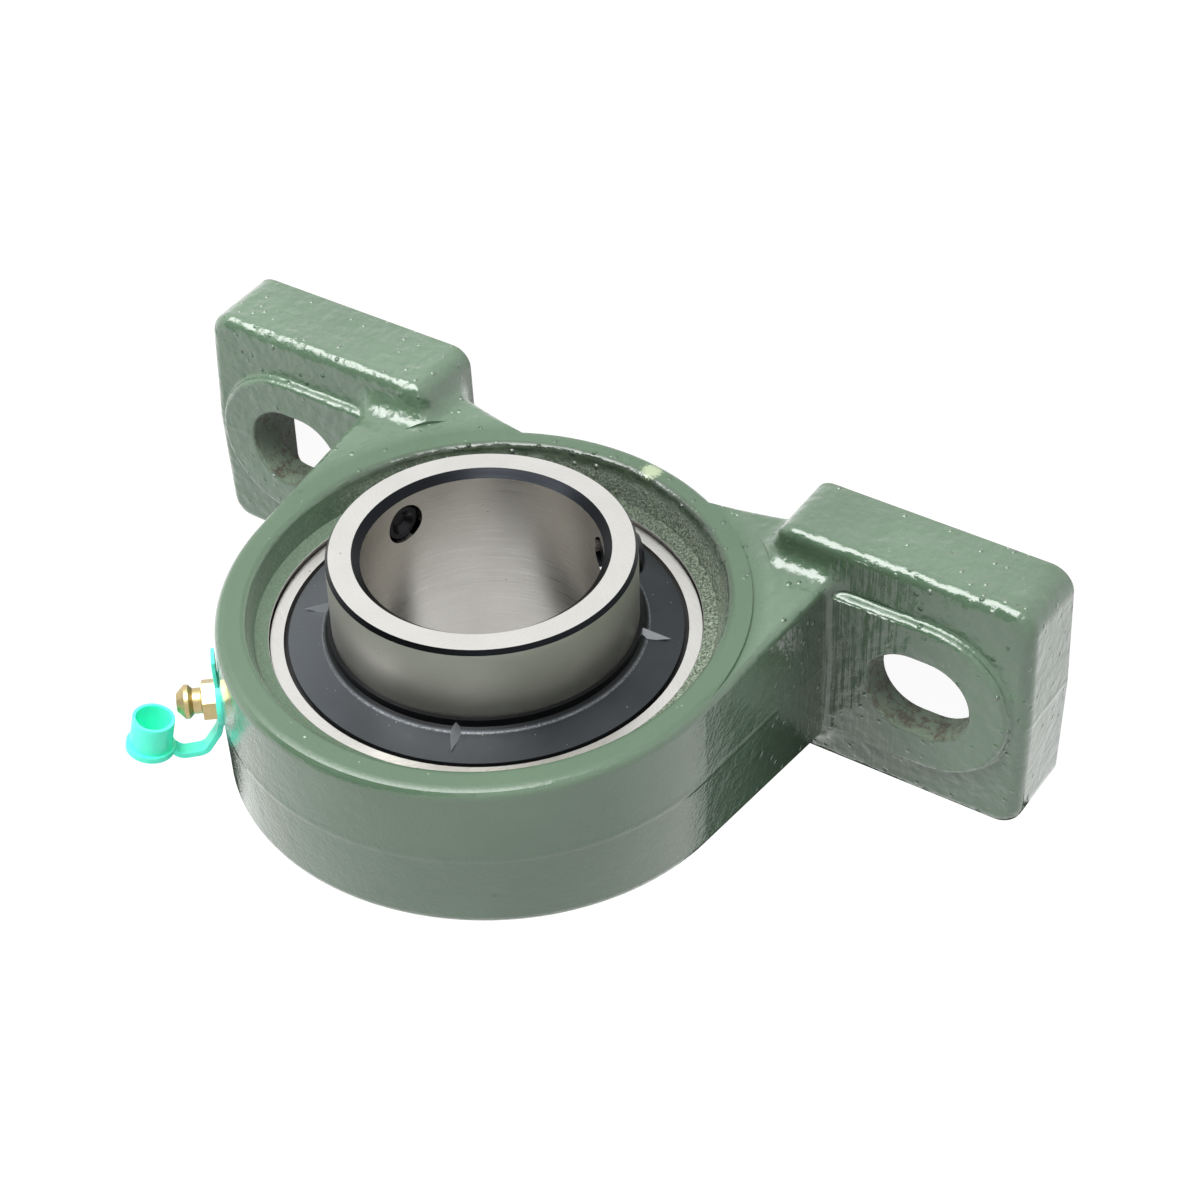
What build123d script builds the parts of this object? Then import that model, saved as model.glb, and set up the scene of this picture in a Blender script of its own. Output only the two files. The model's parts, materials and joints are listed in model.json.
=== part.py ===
from build123d import *
from math import acos, atan2, cos, hypot, radians, sin, sqrt, tan
import os

# Pillow block bearing: a cast housing on two slotted feet holds a wide-inner-ring ball bearing insert.
# Frame in millimetres: the origin is midway between the bolt slots on the base plane, X runs along the base,
# Y along the shaft with the set screw side at -Y, and Z points up through the crown.

# Housing, overall
base_width = 53.0
bolt_spacing = 146.0
foot_outer_reach = 22.0
foot_inner_reach = 33.5
slot_width = 17.8
slot_length = 21.4
slot_edge_fillet = 0.8
centre_height = 54.0
ring_wall = 8.5
foot_height = 17.3
pad_rise = 1.7
pad_width = 34.0
pad_inner_length = 24.0
bolt_plate = 7.0
pocket_side_wall = 4.8
pocket_end_wall = 6.4
pocket_inner_wall = 5.5
pocket_corner_radius = 3.0
pocket_draft = 2.0

# Housing, ring and web
rim_half_thickness = 18.0
rim_lean = 2.0
mould_draft = 1.5
web_step = 0.45
web_fade_width = 3.0
web_foot_gap = 18.3
arch_spring_height = 3.9
arch_crown_height = 9.5
recess_step = 0.9
recess_cone_angle = 20.0
rim_edge_fillet = 2.0
rim_inner_fillet = 1.3
root_fillet = 4.5
foot_end_fillet = 5.0
foot_inner_fillet = 4.0
foot_top_fillet = 2.6
pad_fillet = 1.1
notch_play = 0.5
notch_depth = 0.25
grease_groove_width = 9.5
grease_groove_depth = 1.0

# Insert bearing
bore_radius = 22.5
inner_groove_depth = 2.8
front_reach = 30.2
back_reach = 19.0
bore_chamfer_radial = 1.55
bore_chamfer_axial = 1.35
ring_edge_radial = 0.6
ring_edge_axial = 0.95
seat_radius = 42.5
seat_clearance = 0.05
outer_ring_chamfer = 0.55
outer_groove_depth = 2.7
seal_bore_step = 1.9
seal_bore_depth = 3.1
ball_count = 9
ball_radius = 6.35
groove_ratio = 1.04
ball_play = 0.05
ring_hole_radius = 1.0
ring_groove_width = 2.8
ring_groove_depth = 0.5

# Cage, seals and slingers
cage_sheet = 0.9
pocket_play = 0.15
cage_inner_gap = 1.5
cage_outer_gap = 1.3
cage_end_gap = 0.5
rivet_shank_radius = 0.75
rivet_head_radius = 1.35
rivet_head_height = 0.6
seal_thickness = 1.0
seal_bead_width = 1.2
seal_bead_thickness = 1.6
seal_lip_play = 0.08
slinger_sheet = 0.8
slinger_gap = 0.9
slinger_stand = 0.05
slinger_dish = 1.1
slinger_flange_height = 2.4
gusset_count = 4
gusset_start_angle = 24.0
gusset_length = 5.3
gusset_height = 2.0
gusset_half_width = 1.5

# Set screws
screw_radius = 4.0
screw_play = 0.05
screw_proud = 1.1
screw_inset = 7.2
screw_first_angle = -14.0
screw_spread = 120.0
screw_recess = 0.5
screw_chamfer = 0.6
socket_across_flats = 4.0
socket_depth = 3.4
cup_radius = 2.5
cup_depth = 1.2

# Grease nipple and its dust cap
nipple_angle = 40.0
spot_face_depth = 0.4
spot_face_radius = 6.5
nipple_thread_radius = 3.0
nipple_thread_play = 0.02
nipple_thread_length = 5.5
nipple_hex_flats = 7.0
nipple_hex_height = 2.5
nipple_neck_radius = 2.45
nipple_neck_length = 1.8
nipple_head_radius = 3.25
nipple_head_length = 3.1
nipple_tip_radius = 1.75
nipple_passage_radius = 1.35
nipple_mouth_radius = 0.6
nipple_feed_radius = 0.65
check_ball_radius = 1.0
check_ball_play = 0.02
check_cone_height = 1.0
spring_wire_radius = 0.14
spring_coil_radius = 0.8
spring_turns = 6.0
grease_drilling_radius = 1.6
tether_thickness = 1.3
tether_play = 0.1
tether_ring_width = 2.05
strap_width = 3.0
strap_thickness = 1.1
strap_rise = 0.9
tab_length = 5.6
tab_width = 4.4
tab_thickness = 0.7
cap_outer_radius = 4.05
cap_wall = 0.6
cap_height = 7.6
cap_flange_radius = 4.7
cap_flange_height = 1.3
cap_lean = 12.0
cap_offset = 15.0
cap_shift = 10.6

os.makedirs("parts", exist_ok=True)

# The section plane holds the shaft axis: its x is the radius and its y the distance along the shaft.
shaft_axis = Axis((0, 0, centre_height), (0, 1, 0))
section_plane = Plane(origin=(0, 0, centre_height), x_dir=(1, 0, 0), z_dir=(0, 0, 1))
half_base = base_width / 2
half_length = bolt_spacing / 2 + foot_outer_reach
foot_inner_end = bolt_spacing / 2 - foot_inner_reach
crown_radius = seat_radius + ring_wall
recess_floor_radius = seat_radius + recess_step

# The balls run midway between the shaft and the seat, and the rings, cage and seals are built out from them.
pitch_radius = (bore_radius + seat_radius) / 2
inner_ring_radius = pitch_radius - ball_radius - ball_play + inner_groove_depth
shoulder_radius = pitch_radius + ball_radius + ball_play - outer_groove_depth
seal_bore_radius = shoulder_radius + seal_bore_step
pocket_radius = ball_radius + pocket_play
pocket_outer_radius = pocket_radius + cage_sheet
seal_floor_y = pocket_outer_radius + cage_end_gap
half_ring_width = seal_floor_y + seal_bore_depth
ring_sphere_radius = seat_radius - seat_clearance

# The nipple plane touches its seat on the housing: its x runs along the shaft and its normal points outward.
nipple_seat_radius = crown_radius - spot_face_depth
nipple_out = Vector(cos(radians(nipple_angle)), 0, sin(radians(nipple_angle)))
nipple_seat = Vector(0, 0, centre_height) + nipple_out * nipple_seat_radius
nipple_axis = Axis(nipple_seat, nipple_out)
nipple_plane = Plane(origin=nipple_seat, x_dir=(0, 1, 0), z_dir=nipple_out)
nipple_section = Plane(origin=nipple_seat, x_dir=(0, 1, 0), z_dir=(nipple_out.Z, 0, -nipple_out.X))


# Ring and web of the housing, front half: the outline is drafted away from the parting plane at y = 0, and the
# machined rim leans back a little towards the crown.
rim_plane = Plane(
    origin=(0, -rim_half_thickness, centre_height), x_dir=(1, 0, 0), z_dir=(0, -1, tan(radians(rim_lean)))
)
web_foot_x = foot_inner_end + web_foot_gap - foot_inner_fillet * 0.75
web_foot_z = foot_height / 2
web_foot_drop = centre_height - web_foot_z
web_foot_distance = hypot(web_foot_x, web_foot_drop)
flank_turn = acos(crown_radius / web_foot_distance) - atan2(web_foot_drop, web_foot_x)
tangent_x = crown_radius * cos(flank_turn)
tangent_z = centre_height + crown_radius * sin(flank_turn)
arch_end_x = foot_inner_end + foot_inner_fillet
web_fade_radius = crown_radius + web_fade_width
rim_step_radius = crown_radius - rim_half_thickness * tan(radians(mould_draft)) - rim_edge_fillet * 0.3

with BuildPart() as ring_half:
    with BuildSketch(Plane.XZ):
        with BuildLine():
            crown = ThreePointArc(
                (tangent_x, tangent_z), (0, centre_height + crown_radius), (-tangent_x, tangent_z)
            )
            left_flank = Line(crown @ 1, (-web_foot_x, web_foot_z))
            left_root = Line(left_flank @ 1, (-arch_end_x, arch_spring_height - foot_inner_fillet * 0.25))
            arch = ThreePointArc(
                left_root @ 1, (0, arch_crown_height), (arch_end_x, arch_spring_height - foot_inner_fillet * 0.25)
            )
            right_root = Line(arch @ 1, (web_foot_x, web_foot_z))
            Line(right_root @ 1, crown @ 0)
        make_face()
        with Locations((0, centre_height)):
            Circle(crown_radius)
    extrude(amount=half_base)
    outline_faces = ring_half.faces().filter_by(lambda f: abs(f.normal_at().Y) < 0.5)
    draft(outline_faces, Plane.XZ, mould_draft)
    split(bisect_by=rim_plane, keep=Keep.BOTTOM)
    fillet(ring_half.faces().sort_by(Axis.Y)[0].edges(), rim_edge_fillet)

# One foot, front half: a block with rounded corners, drafted like the rest, with a sole left flat.
with BuildPart() as foot_half:
    with BuildSketch(Plane.XZ):
        with Locations(((foot_inner_end + half_length) / 2, foot_height / 2)):
            Rectangle(foot_outer_reach + foot_inner_reach, foot_height)
    extrude(amount=half_base)
    foot_walls = foot_half.faces().filter_by(lambda f: abs(f.normal_at().Y) < 0.5 and f.center().Z > 0.1)
    draft(foot_walls, Plane.XZ, mould_draft)
    foot_front = foot_half.faces().sort_by(Axis.Y)[0]
    fillet(foot_front.edges().sort_by(Axis.X)[-1], foot_end_fillet)
    foot_front = foot_half.faces().sort_by(Axis.Y)[0]
    fillet(foot_front.edges().sort_by(Axis.X)[0], foot_inner_fillet)
    foot_top = foot_half.faces().sort_by(Axis.Z)[-1]
    fillet(foot_top.edges().filter_by(lambda e: e.center().Y < -1), foot_top_fillet)

# The front half of the whole casting: the roots of the ring are blended into the feet, the rim stands a little
# proud of the web, and the sole is flat.
with BuildPart() as casting_half:
    add(ring_half.part)
    add(foot_half.part)
    mirror(foot_half.part, about=Plane.YZ)
    foot_level = foot_height - half_base * tan(radians(mould_draft))
    root_edges = (
        casting_half.edges()
        .filter_by(lambda e: e.length > foot_height * 0.4 or e.geom_type != GeomType.LINE)
        .filter_by(lambda e: foot_level - 0.1 < e.center().Z < foot_height)
        .filter_by(lambda e: foot_inner_end + foot_inner_fillet * 0.5 < abs(e.center().X) < web_foot_x + 4)
        .filter_by(lambda e: -half_base + foot_top_fillet + 1 < e.center().Y < -1)
    )
    fillet(root_edges, root_fillet)
    with BuildSketch(Plane(origin=rim_plane.origin, x_dir=(1, 0, 0), z_dir=rim_plane.y_dir * -1)):
        with BuildLine():
            Polyline(
                (rim_step_radius, -web_step), (rim_step_radius, 1), (web_fade_radius, 1), (web_fade_radius, 0), close=True
            )
        make_face()
    revolve(axis=Axis(rim_plane.origin, rim_plane.z_dir), mode=Mode.SUBTRACT)
    split(bisect_by=Plane.XY, keep=Keep.TOP)

# Pad round each bolt slot: straight sides run out from the root of the ring and a half circle closes the end.
pad_end_x = (bolt_spacing + slot_length - slot_width) / 2
pad_level = foot_height + pad_rise
with BuildPart() as pad:
    with BuildSketch(Plane.XY.offset(foot_height / 2)):
        with Locations((pad_end_x, 0)):
            Circle(pad_width / 2)
        with Locations((pad_end_x - pad_inner_length / 2, 0)):
            Rectangle(pad_inner_length, pad_width)
    extrude(amount=pad_level - foot_height / 2)
    fillet(pad.faces().sort_by(Axis.Z)[-1].edges().filter_by(lambda e: e.center().X > pad_end_x - 15), pad_fillet)

# Seat and recesses turned out of the casting: a spherical seat for the insert and a cone up to each rim.
seat_reach = half_ring_width + 1.0
seat_end_radius = sqrt(seat_radius**2 - seat_reach**2)
cone_start = seat_reach + 1.0
cone_end = half_base + 2.0
cone_end_radius = recess_floor_radius + (cone_end - cone_start) * tan(radians(recess_cone_angle))
groove_bed_radius = seat_radius + grease_groove_depth
rim_inner_limit = rim_step_radius - rim_edge_fillet

with BuildPart() as housing:
    add(casting_half.part)
    mirror(casting_half.part, about=Plane.XZ)
    add(pad.part)
    mirror(pad.part, about=Plane.YZ)
    with BuildSketch(section_plane):
        with BuildLine():
            Polyline(
                (0, -cone_end),
                (cone_end_radius, -cone_end),
                (recess_floor_radius, -cone_start),
                (seat_end_radius, -seat_reach),
            )
            ThreePointArc((seat_end_radius, -seat_reach), (seat_radius, 0), (seat_end_radius, seat_reach))
            Polyline(
                (seat_end_radius, seat_reach),
                (recess_floor_radius, cone_start),
                (cone_end_radius, cone_end),
                (0, cone_end),
                (0, -cone_end),
            )
        make_face()
    revolve(axis=shaft_axis, mode=Mode.SUBTRACT)
    rim_edges = (
        housing.edges()
        .filter_by(lambda e: e.geom_type != GeomType.LINE and abs(e.center().Y) > rim_half_thickness - 3)
        .filter_by(lambda e: recess_floor_radius < hypot(e.center().X, e.center().Z - centre_height) < rim_inner_limit)
        .filter_by(lambda e: e.length > crown_radius)
    )
    fillet(rim_edges, rim_inner_fillet)
    with BuildSketch(section_plane):
        with Locations((groove_bed_radius - 2, -ring_groove_width)):
            Rectangle(4, grease_groove_width)
    revolve(axis=shaft_axis, mode=Mode.SUBTRACT)
    with BuildSketch(Plane.XZ):
        with Locations((0, centre_height)):
            Circle(seat_radius + notch_depth)
            Rectangle(crown_radius * 2, (half_ring_width + notch_play) * 2, mode=Mode.INTERSECT)
    extrude(amount=-half_base, mode=Mode.SUBTRACT)
    with BuildSketch(Plane.XY):
        with Locations((-bolt_spacing / 2, 0), (bolt_spacing / 2, 0)):
            SlotOverall(slot_length, slot_width)
    extrude(amount=pad_level * 2, mode=Mode.SUBTRACT)
    slot_mouths = (
        housing.edges()
        .filter_by(lambda e: abs(e.center().Z - pad_level) < 0.01 and abs(abs(e.center().X) - bolt_spacing / 2) < slot_length)
        .filter_by(lambda e: abs(e.center().Y) < slot_width * 0.6)
    )
    fillet(slot_mouths, slot_edge_fillet)
    pocket_start = foot_inner_end + pocket_inner_wall
    pocket_end = half_length - pocket_end_wall
    with BuildSketch(Plane.XY):
        with Locations(((pocket_start + pocket_end) / 2, 0), (-(pocket_start + pocket_end) / 2, 0)):
            RectangleRounded(pocket_end - pocket_start, base_width - pocket_side_wall * 2, pocket_corner_radius)
    extrude(amount=pad_level - bolt_plate, taper=pocket_draft, mode=Mode.SUBTRACT)
    with BuildSketch(nipple_plane):
        Circle(spot_face_radius)
    extrude(amount=crown_radius, mode=Mode.SUBTRACT)
    with BuildSketch(nipple_plane):
        Circle(nipple_thread_radius + nipple_thread_play)
    extrude(amount=-nipple_thread_length - 0.5, mode=Mode.SUBTRACT)
    with BuildSketch(nipple_plane):
        Circle(grease_drilling_radius)
    extrude(amount=seat_radius - nipple_seat_radius - 0.5, mode=Mode.SUBTRACT)

housing.part.label = "housing"
export_step(housing.part, "parts/housing.step")


# Outer ring of the insert: spherical outside, ball groove, a shouldered bore for each seal, and grease holes
# that open into a shallow groove round the outside.
groove_radius = ball_radius * groove_ratio
outer_groove_centre = pitch_radius + ball_radius + ball_play - groove_radius
outer_groove_half = sqrt(groove_radius**2 - (shoulder_radius - outer_groove_centre) ** 2)
edge_y = half_ring_width - outer_ring_chamfer
edge_radius = sqrt(ring_sphere_radius**2 - edge_y**2)
face_radius = edge_radius - outer_ring_chamfer
ring_hole_y = -(outer_groove_half + seal_floor_y) / 2

with BuildPart() as outer_ring:
    with BuildSketch(section_plane):
        with BuildLine():
            ThreePointArc((edge_radius, -edge_y), (ring_sphere_radius, 0), (edge_radius, edge_y))
            Polyline(
                (edge_radius, edge_y),
                (face_radius, half_ring_width),
                (seal_bore_radius, half_ring_width),
                (seal_bore_radius, seal_floor_y),
                (shoulder_radius, seal_floor_y),
                (shoulder_radius, outer_groove_half),
            )
            ThreePointArc(
                (shoulder_radius, outer_groove_half),
                (outer_groove_centre + groove_radius, 0),
                (shoulder_radius, -outer_groove_half),
            )
            Polyline(
                (shoulder_radius, -outer_groove_half),
                (shoulder_radius, -seal_floor_y),
                (seal_bore_radius, -seal_floor_y),
                (seal_bore_radius, -half_ring_width),
                (face_radius, -half_ring_width),
                (edge_radius, -edge_y),
            )
        make_face()
    revolve(axis=shaft_axis)
    groove_floor = sqrt(ring_sphere_radius**2 - ring_hole_y**2) - ring_groove_depth
    with BuildSketch(section_plane):
        with Locations((groove_floor + 2, ring_hole_y)):
            Rectangle(4, ring_groove_width)
    revolve(axis=shaft_axis, mode=Mode.SUBTRACT)
    with BuildSketch(nipple_plane.offset(-nipple_seat_radius)):
        with Locations((ring_hole_y, 0)):
            Circle(ring_hole_radius)
    extrude(amount=seat_radius, both=True, mode=Mode.SUBTRACT)

outer_ring.part.label = "outer_ring"
export_step(outer_ring.part, "parts/outer_ring.step")


# Inner ring: wide on the set screw side, with the ball groove round its outside and two threaded screw holes.
inner_groove_centre = pitch_radius - ball_radius - ball_play + groove_radius
inner_groove_half = sqrt(groove_radius**2 - (inner_groove_centre - inner_ring_radius) ** 2)
screw_y = screw_inset - front_reach

with BuildPart() as inner_ring:
    with BuildSketch(section_plane):
        with BuildLine():
            Polyline(
                (inner_ring_radius, inner_groove_half),
                (inner_ring_radius, back_reach - ring_edge_axial),
                (inner_ring_radius - ring_edge_radial, back_reach),
                (bore_radius + bore_chamfer_radial, back_reach),
                (bore_radius, back_reach - bore_chamfer_axial),
                (bore_radius, bore_chamfer_axial - front_reach),
                (bore_radius + bore_chamfer_radial, -front_reach),
                (inner_ring_radius - ring_edge_radial, -front_reach),
                (inner_ring_radius, ring_edge_axial - front_reach),
                (inner_ring_radius, -inner_groove_half),
            )
            ThreePointArc(
                (inner_ring_radius, -inner_groove_half),
                (inner_groove_centre - groove_radius, 0),
                (inner_ring_radius, inner_groove_half),
            )
        make_face()
    revolve(axis=shaft_axis)
    for turn in (screw_first_angle, screw_first_angle - screw_spread):
        screw_out = Vector(cos(radians(turn)), 0, sin(radians(turn)))
        with BuildSketch(Plane(origin=(0, screw_y, centre_height), x_dir=(0, 1, 0), z_dir=screw_out)):
            Circle(screw_radius + screw_play)
        extrude(amount=inner_ring_radius * 1.2, mode=Mode.SUBTRACT)

inner_ring.part.label = "inner_ring"
export_step(inner_ring.part, "parts/inner_ring.step")


# Balls, evenly spaced on the pitch circle, the first at the top.
ball_step = 360.0 / ball_count
for number in range(ball_count):
    turn = radians(90.0 + number * ball_step)
    ball_centre = (pitch_radius * cos(turn), 0, centre_height + pitch_radius * sin(turn))
    with BuildPart(Plane(origin=ball_centre)) as ball:
        Sphere(ball_radius)
    ball.part.label = f"ball_{number + 1}"
    export_step(ball.part, f"parts/ball_{number + 1}.step")


# Cage: two pressed sheet rings with a hemispherical pocket for each ball, riveted flat on flat between them.
cage_plane = Plane(origin=(0, 0, centre_height), x_dir=(1, 0, 0), z_dir=(0, -1, 0))
cage_inner_radius = inner_ring_radius + cage_inner_gap
cage_outer_radius = shoulder_radius - cage_outer_gap

with BuildPart() as cage_front:
    with BuildSketch(cage_plane):
        Circle(cage_outer_radius)
        Circle(cage_inner_radius, mode=Mode.SUBTRACT)
    extrude(amount=cage_sheet)
    with Locations(cage_plane):
        with PolarLocations(pitch_radius, ball_count, start_angle=90):
            Sphere(pocket_outer_radius)
    with BuildSketch(cage_plane):
        Circle(cage_outer_radius)
        Circle(cage_inner_radius, mode=Mode.SUBTRACT)
    extrude(amount=pocket_outer_radius * 2, mode=Mode.INTERSECT)
    with Locations(cage_plane):
        with PolarLocations(pitch_radius, ball_count, start_angle=90):
            Sphere(pocket_radius, mode=Mode.SUBTRACT)
    with BuildSketch(cage_plane):
        with PolarLocations(pitch_radius, ball_count, start_angle=90 + ball_step / 2):
            Circle(rivet_shank_radius)
    extrude(amount=cage_sheet, mode=Mode.SUBTRACT)

cage_front.part.label = "cage_front"
export_step(cage_front.part, "parts/cage_front.step")

with BuildPart() as cage_back:
    mirror(cage_front.part, about=Plane.XZ)

cage_back.part.label = "cage_back"
export_step(cage_back.part, "parts/cage_back.step")

# Cage rivets: a shank through both sheets with a closed head on each side, one between every two balls.
with BuildPart() as cage_rivets:
    with BuildSketch(cage_plane):
        with PolarLocations(pitch_radius, ball_count, start_angle=90 + ball_step / 2):
            Circle(rivet_shank_radius)
    extrude(amount=cage_sheet, both=True)
    with BuildSketch(cage_plane.offset(cage_sheet), cage_plane.offset(-cage_sheet - rivet_head_height)):
        with PolarLocations(pitch_radius, ball_count, start_angle=90 + ball_step / 2):
            Circle(rivet_head_radius)
    extrude(amount=rivet_head_height)
    outer_ends = cage_rivets.faces().filter_by(Axis.Y).group_by(SortBy.AREA)[-1]
    head_rims = outer_ends.edges().filter_by(lambda e: abs(e.center().Y) > cage_sheet + rivet_head_height / 2)
    fillet(head_rims, rivet_head_height * 0.7)

cage_rivets.part.label = "cage_rivets"
export_step(cage_rivets.part, "parts/cage_rivets.step")


# Seals: a rubber-faced disc pressed into the outer ring, with a lip that runs on the inner ring.
lip_radius = inner_ring_radius + seal_lip_play
with BuildPart() as front_seal:
    with BuildSketch(section_plane):
        with BuildLine():
            Polyline(
                (seal_bore_radius, -seal_floor_y),
                (seal_bore_radius, -seal_floor_y - seal_bead_thickness),
                (seal_bore_radius - seal_bead_width, -seal_floor_y - seal_bead_thickness),
                (seal_bore_radius - seal_bead_width * 1.5, -seal_floor_y - seal_thickness),
                (lip_radius + seal_thickness, -seal_floor_y - seal_thickness),
                (lip_radius, -seal_floor_y - seal_bead_thickness),
                (lip_radius, -seal_floor_y - seal_bead_thickness * 0.6),
                (lip_radius + seal_thickness * 1.3, -seal_floor_y),
                (seal_bore_radius, -seal_floor_y),
            )
        make_face()
    revolve(axis=shaft_axis)

front_seal.part.label = "front_seal"
export_step(front_seal.part, "parts/front_seal.step")

with BuildPart() as back_seal:
    mirror(front_seal.part, about=Plane.XZ)

back_seal.part.label = "back_seal"
export_step(back_seal.part, "parts/back_seal.step")


# Slingers: a dished steel disc pressed on the inner ring by an upstanding flange, stiffened by four gussets.
slinger_radius = seal_bore_radius - slinger_gap
slinger_face = half_ring_width + slinger_stand
flange_radius = inner_ring_radius + slinger_sheet
disc_root_radius = flange_radius + slinger_sheet * 1.2
disc_root_y = slinger_face + slinger_dish
flange_top_y = disc_root_y + slinger_flange_height
gusset_base_radius = flange_radius - slinger_sheet * 0.5
gusset_tip_radius = flange_radius + gusset_length
gusset_tip_y = slinger_face + slinger_sheet * 0.5
gusset_tip_y += slinger_dish * (slinger_radius - gusset_tip_radius) / (slinger_radius - disc_root_radius)

with BuildPart() as front_slinger:
    with BuildSketch(section_plane):
        with BuildLine():
            Polyline(
                (inner_ring_radius, -flange_top_y),
                (flange_radius, -flange_top_y),
                (flange_radius, -disc_root_y - slinger_sheet),
                (disc_root_radius, -disc_root_y),
                (slinger_radius, -slinger_face),
                (slinger_radius, slinger_sheet - slinger_face),
                (disc_root_radius - slinger_sheet * 0.3, slinger_sheet - disc_root_y),
                (inner_ring_radius, -disc_root_y - slinger_sheet * 0.4),
                (inner_ring_radius, -flange_top_y),
            )
        make_face()
    revolve(axis=shaft_axis)
    for number in range(gusset_count):
        turn = radians(gusset_start_angle + number * 360.0 / gusset_count)
        gusset_out = Vector(cos(turn), 0, sin(turn))
        gusset_foot = Vector(0, -disc_root_y, centre_height) + gusset_out * gusset_base_radius
        gusset_tip = Vector(0, -gusset_tip_y, centre_height) + gusset_out * gusset_tip_radius
        with BuildSketch(Plane(origin=gusset_foot, x_dir=(0, 1, 0), z_dir=gusset_out), mode=Mode.PRIVATE) as root:
            with BuildLine():
                Polyline(
                    (slinger_sheet * 0.3, gusset_half_width),
                    (-gusset_height, 0),
                    (slinger_sheet * 0.3, -gusset_half_width),
                    close=True,
                )
            make_face()
        loft(sections=[root.sketch.face(), Vertex(gusset_tip.X, gusset_tip.Y, gusset_tip.Z)])

front_slinger.part.label = "front_slinger"
export_step(front_slinger.part, "parts/front_slinger.step")

with BuildPart() as back_slinger:
    mirror(front_slinger.part, about=Plane.XZ)

back_slinger.part.label = "back_slinger"
export_step(back_slinger.part, "parts/back_slinger.step")


# Set screws: cup point towards the shaft and a hexagon socket at the outer end, 120 degrees apart.
screw_inner_radius = bore_radius + screw_recess
screw_length = inner_ring_radius + screw_proud - screw_inner_radius
for number in range(2):
    turn = radians(screw_first_angle - number * screw_spread)
    screw_out = Vector(cos(turn), 0, sin(turn))
    screw_foot = Vector(0, screw_y, centre_height) + screw_out * screw_inner_radius
    screw_plane = Plane(origin=screw_foot, x_dir=(0, 1, 0), z_dir=screw_out)
    with BuildPart() as set_screw:
        with BuildSketch(screw_plane):
            Circle(screw_radius)
        extrude(amount=screw_length)
        chamfer(set_screw.edges().filter_by(GeomType.CIRCLE), screw_chamfer)
        with BuildSketch(screw_plane):
            Circle(cup_radius)
        extrude(amount=cup_depth, taper=45, mode=Mode.SUBTRACT)
        with BuildSketch(screw_plane.offset(screw_length)):
            RegularPolygon(socket_across_flats / 2, 6, major_radius=False)
        extrude(amount=-socket_depth, mode=Mode.SUBTRACT)
    set_screw.part.label = f"set_screw_{number + 1}"
    export_step(set_screw.part, f"parts/set_screw_{number + 1}.step")


# Grease nipple: turned and drilled brass with a hexagon, a waisted neck and a conical head that couplers grip.
hex_foot = tether_thickness
hex_top = hex_foot + nipple_hex_height
neck_top = hex_top + nipple_neck_length
nipple_tip = neck_top + nipple_head_length
head_cone = nipple_head_radius - nipple_tip_radius
mouth_floor = nipple_tip - nipple_mouth_radius
cone_foot = mouth_floor - check_cone_height
spring_floor = hex_foot * 0.5

with BuildPart() as grease_nipple:
    with BuildSketch(nipple_section):
        with BuildLine():
            Polyline(
                (nipple_feed_radius, -nipple_thread_length),
                (nipple_thread_radius - 0.4, -nipple_thread_length),
                (nipple_thread_radius, -nipple_thread_length + 0.4),
                (nipple_thread_radius, hex_foot + 0.1),
                (nipple_neck_radius + 0.3, hex_foot + 0.1),
                (nipple_neck_radius + 0.3, hex_top),
                (nipple_neck_radius, hex_top + 0.3),
                (nipple_neck_radius, neck_top),
                (nipple_head_radius, neck_top + (nipple_head_radius - nipple_neck_radius)),
                (nipple_head_radius, nipple_tip - head_cone),
                (nipple_tip_radius, nipple_tip),
                (nipple_mouth_radius, nipple_tip),
                (nipple_mouth_radius, mouth_floor),
                (nipple_passage_radius, cone_foot),
                (nipple_passage_radius, spring_floor),
                (nipple_feed_radius, spring_floor),
                (nipple_feed_radius, -nipple_thread_length),
            )
        make_face()
    revolve(axis=nipple_axis)
    with BuildSketch(nipple_plane.offset(hex_foot)):
        RegularPolygon(nipple_hex_flats / 2, 6, major_radius=False)
        Circle(nipple_passage_radius, mode=Mode.SUBTRACT)
    extrude(amount=nipple_hex_height)

grease_nipple.part.label = "grease_nipple"
export_step(grease_nipple.part, "parts/grease_nipple.step")

# Check ball of the nipple, held against the cone under the mouth.
cone_radial = nipple_passage_radius - nipple_mouth_radius
cone_slant = sqrt(cone_radial**2 + check_cone_height**2)
ball_stand_off = (nipple_passage_radius * check_cone_height / cone_slant - check_ball_radius - check_ball_play)
check_ball_offset = cone_foot + ball_stand_off * cone_slant / cone_radial
with BuildPart(nipple_plane.offset(check_ball_offset)) as nipple_check_ball:
    Sphere(check_ball_radius)

nipple_check_ball.part.label = "nipple_check_ball"
export_step(nipple_check_ball.part, "parts/nipple_check_ball.step")

# Spring of the nipple: it stands on the step in the passage and pushes the ball outward.
spring_grip = sqrt((check_ball_radius + spring_wire_radius) ** 2 - spring_coil_radius**2)
spring_start = spring_floor + spring_wire_radius
spring_end = check_ball_offset - spring_grip - check_ball_play
spring_height = spring_end - spring_start
with BuildPart() as nipple_spring:
    with BuildLine() as coil:
        Helix(
            spring_height / spring_turns,
            spring_height,
            spring_coil_radius,
            center=nipple_seat + nipple_out * spring_start,
            direction=nipple_out,
        )
    with BuildSketch(coil.line ^ 0):
        Circle(spring_wire_radius)
    sweep(path=coil.line, is_frenet=True)

nipple_spring.part.label = "nipple_spring"
export_step(nipple_spring.part, "parts/nipple_spring.step")


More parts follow.
